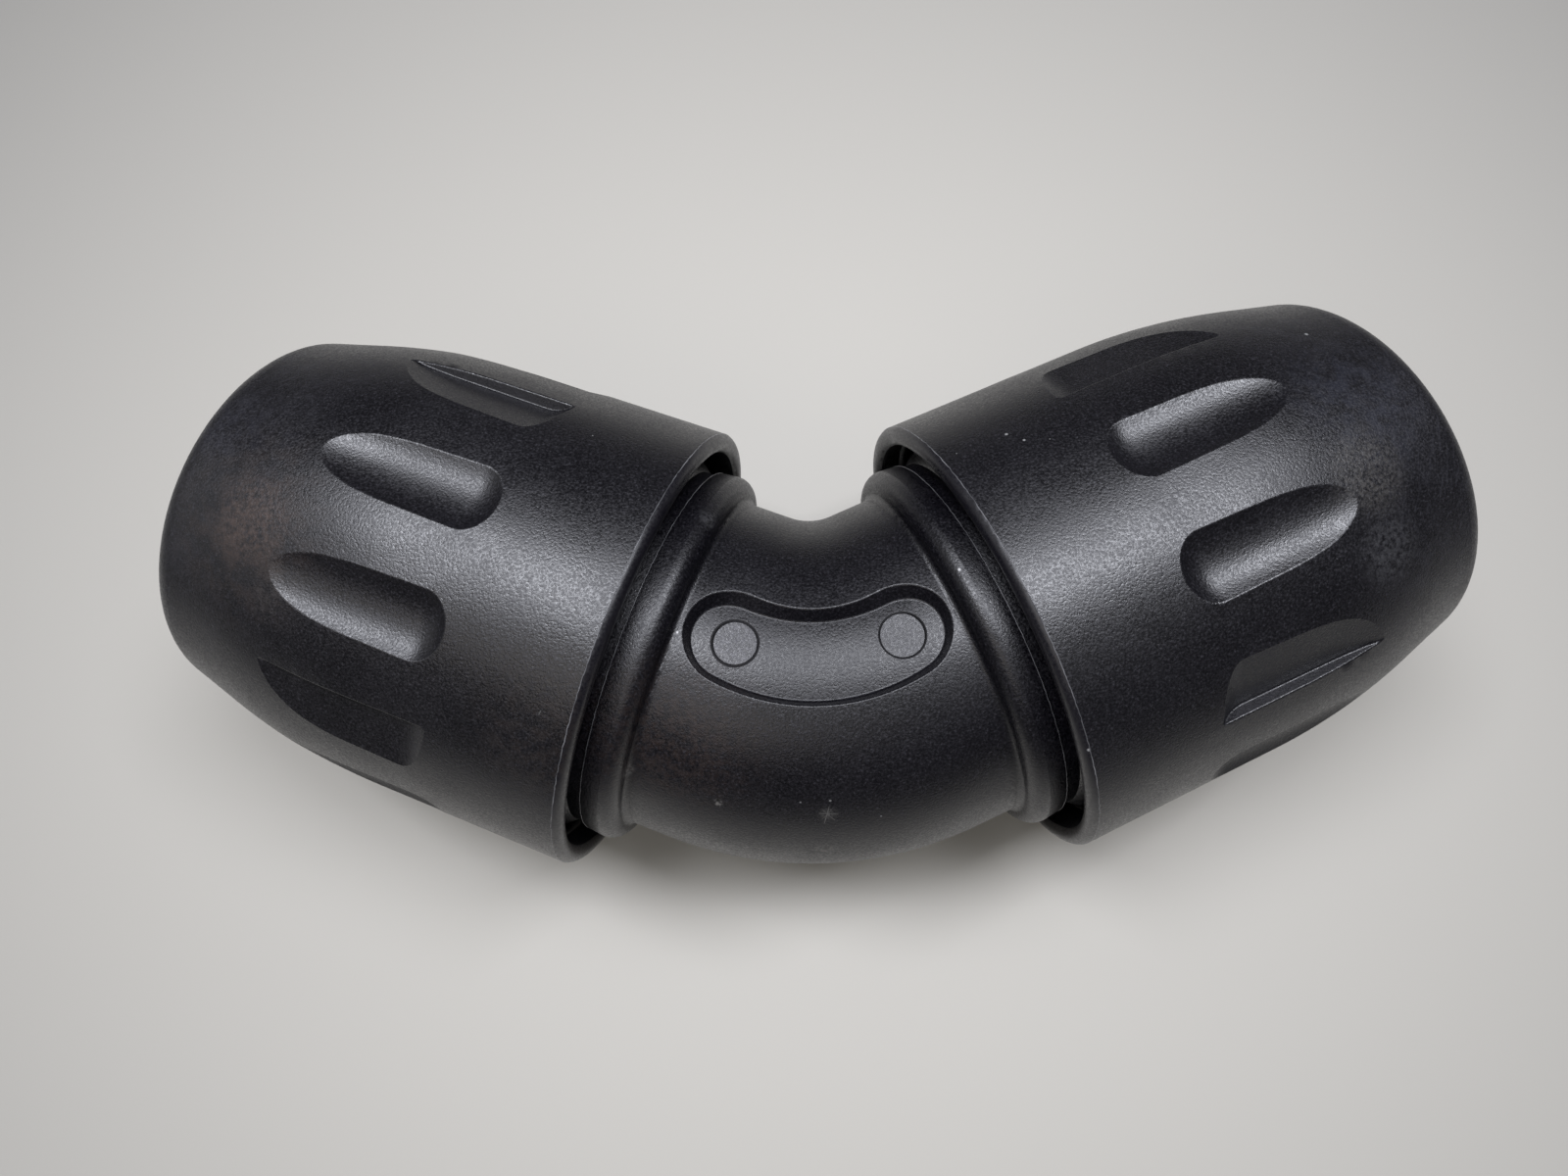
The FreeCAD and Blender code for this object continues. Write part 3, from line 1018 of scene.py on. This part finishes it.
@dataclass
class ElbowBody:
    """The moulded bend with its two threaded sleeves."""

    sleeve_radius: float = 39.4
    thread_crest: float = 42.0
    thread_start: float = 41.9
    thread_end: float = 53.4
    collar_s: float = 33.9
    collar_radius: float = 38.25
    flash_thickness: float = 0.09
    roughness: float = 0.37
    gloss: float = 0.71
    pins: Tuple[PinMark, ...] = (
        PinMark(-14.5, -17.6),
        PinMark(14.9, -17.3, groove=0.24, sand=0.3),
    )

    def marks(self) -> Tuple[Mark, ...]:
        """Painted sheen and shade, worn places, scratches, a pit, a gate mark and dust on the body.

        Returns:
            Its marks.
        """
        chalky = (0.13, 0.125, 0.12, 1.0)
        faint = (0.1, 0.095, 0.09, 1.0)
        sheen_and_worn_places = (
            # Painted warm sheen: a wide brownish cloud on the front left of the body.
            Patch((-26.0, -34.0, 29.0), 2.0, 22.0, (0.03, 0.019, 0.016, 1.0), 0.6, 1.3),
            Patch((-18.7, 5.3, 32.3), 0.5, 3.0, (0.07, 0.07, 0.075, 1.0), 0.5, 0.9),
            Patch((-34.9, -38.4, 23.5), 0.3, 2.2, (0.11, 0.105, 0.1, 1.0), 0.8, 0.8),
        )
        star_scratch = (
            Patch((0.7, -47.1, 22.5), 0.2, 2.4, faint, 0.6, 0.5),
            Scratch((-0.9, -46.9, 22.7), (2.5, -47.2, 22.4), 0.14, chalky, 0.7),
            Scratch((0.0, -48.6, 20.7), (0.9, -45.9, 23.9), 0.14, chalky, 0.7),
            Scratch((-0.5, -46.2, 23.6), (1.9, -48.2, 21.2), 0.12, faint, 0.7),
            Scratch((-0.4, -48.0, 21.5), (1.6, -46.1, 23.7), 0.12, faint, 0.7),
        )
        pit_with_painted_shade = (
            Patch((-18.6, -44.4, 22.6), 0.35, 1.1, (0.2, 0.19, 0.18, 1.0), 0.9, 0.5),
            # Painted shade: a dark dot for the hollow of the pit, off the middle of a pale spot.
            Patch((-18.6, -44.0, 23.0), 0.2, 0.5, grey(0.0015)),
        )
        gate_mark_with_painted_shade = (
            Patch((-0.1, -52.9, 13.1), 0.9, 2.2, (0.14, 0.13, 0.12, 1.0), 0.7, 0.6),
            # Painted shade: a dark dot for the hollow of the gate mark, in a pale spot.
            Patch((0.2, -52.8, 13.3), 0.5, 1.0, grey(0.0005)),
        )
        dust = (
            Patch((-4.1, -45.0, 24.6), 0.1, 0.25, grey(0.16)),
            Patch((1.1, -44.9, 24.8), 0.12, 0.3, grey(0.18)),
            Patch((10.1, -47.7, 20.9), 0.1, 0.25, grey(0.16)),
            Patch((-24.3, -15.9, 34.3), 0.12, 0.3, grey(0.5)),
            Patch((24.6, -7.6, 38.0), 0.15, 0.35, grey(0.5)),
        )
        return sheen_and_worn_places + star_scratch + pit_with_painted_shade + gate_mark_with_painted_shade + dust

    def build(self, dresser: Dresser) -> None:
        """Dresses the body, and adds its threads and flash lines.

        Args:
            dresser: what dresses and joins the pieces.
        """
        finish = GrainedNylon(
            "body_nylon_grained",
            roughness=self.roughness,
            gloss=self.gloss,
            marks=self.marks(),
            pins=self.pins,
        )
        nylon = finish.make()
        flash = BODY_FLASH_PAINTED_GLINT.make()
        dresser.node("elbow_body", nylon)
        for end in End:
            leg = LegFrame(end)
            thread = ThreadRidge(
                f"sleeve_thread_{end.word}",
                self.sleeve_radius,
                self.thread_crest,
                self.thread_start,
                self.thread_end,
            )
            dresser.piece(thread.make(leg, nylon), "fitting", "body_nylon")
            line = FlashLine(
                f"collar_flash_{end.word}",
                self.collar_radius,
                self.collar_s,
                self.flash_thickness,
            )
            dresser.piece(line.make(leg, flash), "fitting", "body_nylon")


@dataclass
class CouplingNut:
    """One tapered nut with its grips, its mouth's flash line and its thread."""

    end: End
    bore_radius: float = 42.3
    thread_crest: float = 39.7
    thread_start: float = 39.4
    thread_end: float = 57.9
    mouth_s: float = 35.65
    mouth_radius: float = 45.9

    def marks(self) -> Tuple[Mark, ...]:
        """Painted sheen and worn places near the nut's nose and mouth, its scratches, hairs and dust.

        Returns:
            Its marks.
        """
        dust = grey(0.28)
        pale = grey(0.09)
        hair = grey(0.0005)
        if self.end is End.LEFT:
            return (
                # Painted warm sheen: brownish clouds on the nose.
                Patch((-98.0, 4.0, 41.0), 5.0, 22.0, (0.026, 0.0175, 0.0155, 1.0), 0.65, 4.0),
                Patch((-96.8, 5.1, 41.5), 3.0, 11.0, (0.07, 0.046, 0.038, 1.0), 0.65, 1.1),
                # Painted bluish sheen on the nose.
                Patch((-104.0, 23.4, 38.7), 2.0, 11.0, (0.018, 0.018, 0.025, 1.0), 0.7, 2.5),
                # A worn place, and a painted warm sheen near the mouth, below.
                Patch((-93.7, -7.7, 39.1), 1.0, 6.0, (0.05, 0.045, 0.045, 1.0), 0.4, 1.0),
                Patch((-45.5, -34.7, 37.5), 4.0, 19.0, (0.02, 0.0145, 0.013, 1.0), 0.55, 2.0),
                Scratch((-46.9, -30.6, 39.8), (-45.9, -29.2, 40.3), 0.22, pale, 0.8),
                Scratch((-44.9, -31.0, 39.7), (-44.4, -30.2, 40.0), 0.2, pale, 0.7),
            )
        return (
            # Painted bluish sheen on the nose.
            Patch((96.1, 19.2, 41.2), 4.0, 18.0, (0.018, 0.019, 0.028, 1.0), 0.8, 3.0),
            # Worn places, hairs and dust.
            Patch((94.2, 6.1, 42.3), 3.0, 10.0, (0.085, 0.08, 0.075, 1.0), 0.6, 0.7),
            Patch((98.3, -6.6, 37.8), 2.0, 9.0, (0.07, 0.07, 0.075, 1.0), 0.5, 1.0),
            Scratch((35.6, -15.8, 45.7), (38.0, -16.4, 45.5), 0.26, hair, 0.9),
            Scratch((38.0, -16.4, 45.5), (39.6, -17.5, 45.1), 0.26, hair, 0.9),
            Patch((34.8, 16.8, 38.2), 0.15, 0.4, dust),
            Patch((37.4, 14.9, 39.9), 0.12, 0.32, dust),
            Patch((44.1, -38.7, 35.0), 0.15, 0.4, dust),
            Patch((92.1, 35.5, 35.2), 0.15, 0.45, dust),
        )

    def build(self, dresser: Dresser, flash: bpy.types.Material) -> None:
        """Dresses the nut, and adds its thread and flash line.

        Args:
            dresser: what dresses and joins the pieces.
            flash: the flash line's material, with its painted glints.
        """
        word = self.end.word
        leg = LegFrame(self.end)
        nylon = GrainedNylon(f"nut_nylon_grained_{word}", leg=leg, marks=self.marks()).make()
        dresser.node(f"coupling_nut_{word}", nylon)
        thread = ThreadRidge(
            f"nut_thread_{word}",
            self.bore_radius,
            self.thread_crest,
            self.thread_start,
            self.thread_end,
        )
        dresser.piece(thread.make(leg, nylon), f"nut_{word}", "nut_nylon")
        line = FlashLine(f"mouth_flash_{word}", self.mouth_radius, self.mouth_s)
        dresser.piece(line.make(leg, flash), f"nut_{word}", "nut_nylon")


@dataclass
class RingPack:
    """The rings between a nut and the body."""

    end: End

    def build(self, dresser: Dresser, finishes: Dict[str, bpy.types.Material]) -> None:
        """Dresses the rings.

        Args:
            dresser: what dresses and joins the pieces.
            finishes: a material for each ring's name.
        """
        for ring, material in finishes.items():
            dresser.node(f"{ring}_{self.end.word}", material)


# Studio


@dataclass
class Softbox:
    """A rectangular lamp that faces the fitting."""

    name: str
    place: Triple
    width: float
    height: float
    watts: float
    colour: Triple = (1.0, 1.0, 1.0)

    def build(self) -> None:
        """Adds the lamp to the scene."""
        light = bpy.data.lights.new(self.name, "AREA")
        light.shape = "RECTANGLE"
        light.size = self.width
        light.size_y = self.height
        light.energy = self.watts
        light.color = self.colour
        lamp = bpy.data.objects.new(self.name, light)
        lamp.location = self.place
        lamp.rotation_euler = (-Vector(self.place)).to_track_quat("-Z", "Y").to_euler()
        bpy.context.scene.collection.objects.link(lamp)


@dataclass
class Studio:
    """The pale floor, the lamps and the camera.

    The camera's tilt is in degrees about each axis in turn, and its offset in mouth radii of a nut,
    the unit in which it was worked out from the photograph. Lamps are placed in metres.
    """

    floor_z: float = -46.0
    floor_half: float = 3.0
    sheet: FloorSheet = FloorSheet()
    panel_tint: Triple = (0.9, 0.92, 1.0)
    fill_tint: Triple = (1.0, 0.93, 0.88)
    room_light: float = 0.065
    focal_pixels: float = 1047.3
    image_width: float = 1600.0
    sensor_width: float = 36.0
    nearest: float = 0.01
    farthest: float = 20.0
    tilt: Triple = (-14.835, -1.211, 1.937)
    offset: Triple = (0.148, -0.524, -4.529)
    mouth_radius: float = 46.0
    crossing_y: float = CROSSING_Y

    def floor(self) -> None:
        """Adds the floor, which isn't part of the object."""
        mesh = bpy.data.meshes.new("floor")
        half = self.floor_half
        z = self.floor_z * MM
        corners = [(-half, -half, z), (half, -half, z), (half, half, z), (-half, half, z)]
        mesh.from_pydata(corners, [], [(0, 1, 2, 3)])
        mesh.materials.append(self.sheet.make(self.floor_z))
        floor = bpy.data.objects.new("floor", mesh)
        bpy.context.scene.collection.objects.link(floor)

    def lamps(self) -> None:
        """Adds the lamps and the even light of the room."""
        lamps = (
            Softbox("ceiling_panel_left", (-0.44, 0.24, 1.35), 0.44, 0.66, 13.4, self.panel_tint),
            Softbox("ceiling_panel_right", (0.5, 0.24, 1.35), 0.44, 0.66, 13.2, self.panel_tint),
            Softbox("ceiling_glow", (0.0, -0.1, 1.7), 3.0, 3.0, 5.0),
            Softbox("front_fill", (-0.55, -0.75, 1.2), 1.2, 0.5, 1.9, self.fill_tint),
            Softbox("wall_left", (-1.45, 0.15, 0.75), 1.2, 1.2, 1.3),
        )
        for lamp in lamps:
            lamp.build()
        world = bpy.data.worlds.new("room")
        world.use_nodes = True
        background = world.node_tree.nodes["Background"]
        background.inputs["Color"].default_value = grey(1.0)
        background.inputs["Strength"].default_value = self.room_light
        bpy.context.scene.world = world

    def camera(self) -> None:
        """Adds the camera at the photograph's viewing angle."""
        data = bpy.data.cameras.new("camera")
        data.sensor_fit = "HORIZONTAL"
        data.sensor_width = self.sensor_width
        data.lens = self.focal_pixels / self.image_width * self.sensor_width
        data.clip_start = self.nearest
        data.clip_end = self.farthest
        turn = Matrix.Identity(3)
        for axis, angle in zip("XYZ", self.tilt):
            turn = turn @ Matrix.Rotation(math.radians(angle), 3, axis)
        back = turn.transposed()
        place = -(back @ (Vector(self.offset) * self.mouth_radius * MM))
        place.y += self.crossing_y * MM
        camera = bpy.data.objects.new("camera", data)
        camera.matrix_world = Matrix.Translation(place) @ back.to_4x4()
        bpy.context.scene.collection.objects.link(camera)
        bpy.context.scene.camera = camera

    def build(self) -> None:
        """Adds everything that isn't part of the object."""
        self.floor()
        self.lamps()
        self.camera()
        bpy.context.scene.view_settings.view_transform = "Standard"


# The whole


def main() -> None:
    """Dresses the model, adds its fine pieces, and lights it."""
    logging.basicConfig(level=logging.INFO, format="%(message)s")
    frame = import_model()
    dresser = Dresser(frame["nodes"])
    ElbowBody().build(dresser)
    acetal = ACETAL.make()
    steel = STEEL.make()
    rubber = RUBBER.make()
    backing = BACKING.make()
    rings = {
        "thrust_washer": acetal,
        "clamp_ring": acetal,
        "slip_washer": acetal,
        "grip_ring": steel,
        "seal_backing_ring": backing,
        "seal_ring": rubber,
    }
    flash = NUT_FLASH_PAINTED_GLINT.make()
    for end in End:
        CouplingNut(end).build(dresser, flash)
        RingPack(end).build(dresser, rings)
    Studio().build()
    log.info("added pieces: %s", ", ".join(dresser.made))


if __name__ == "__main__":
    main()
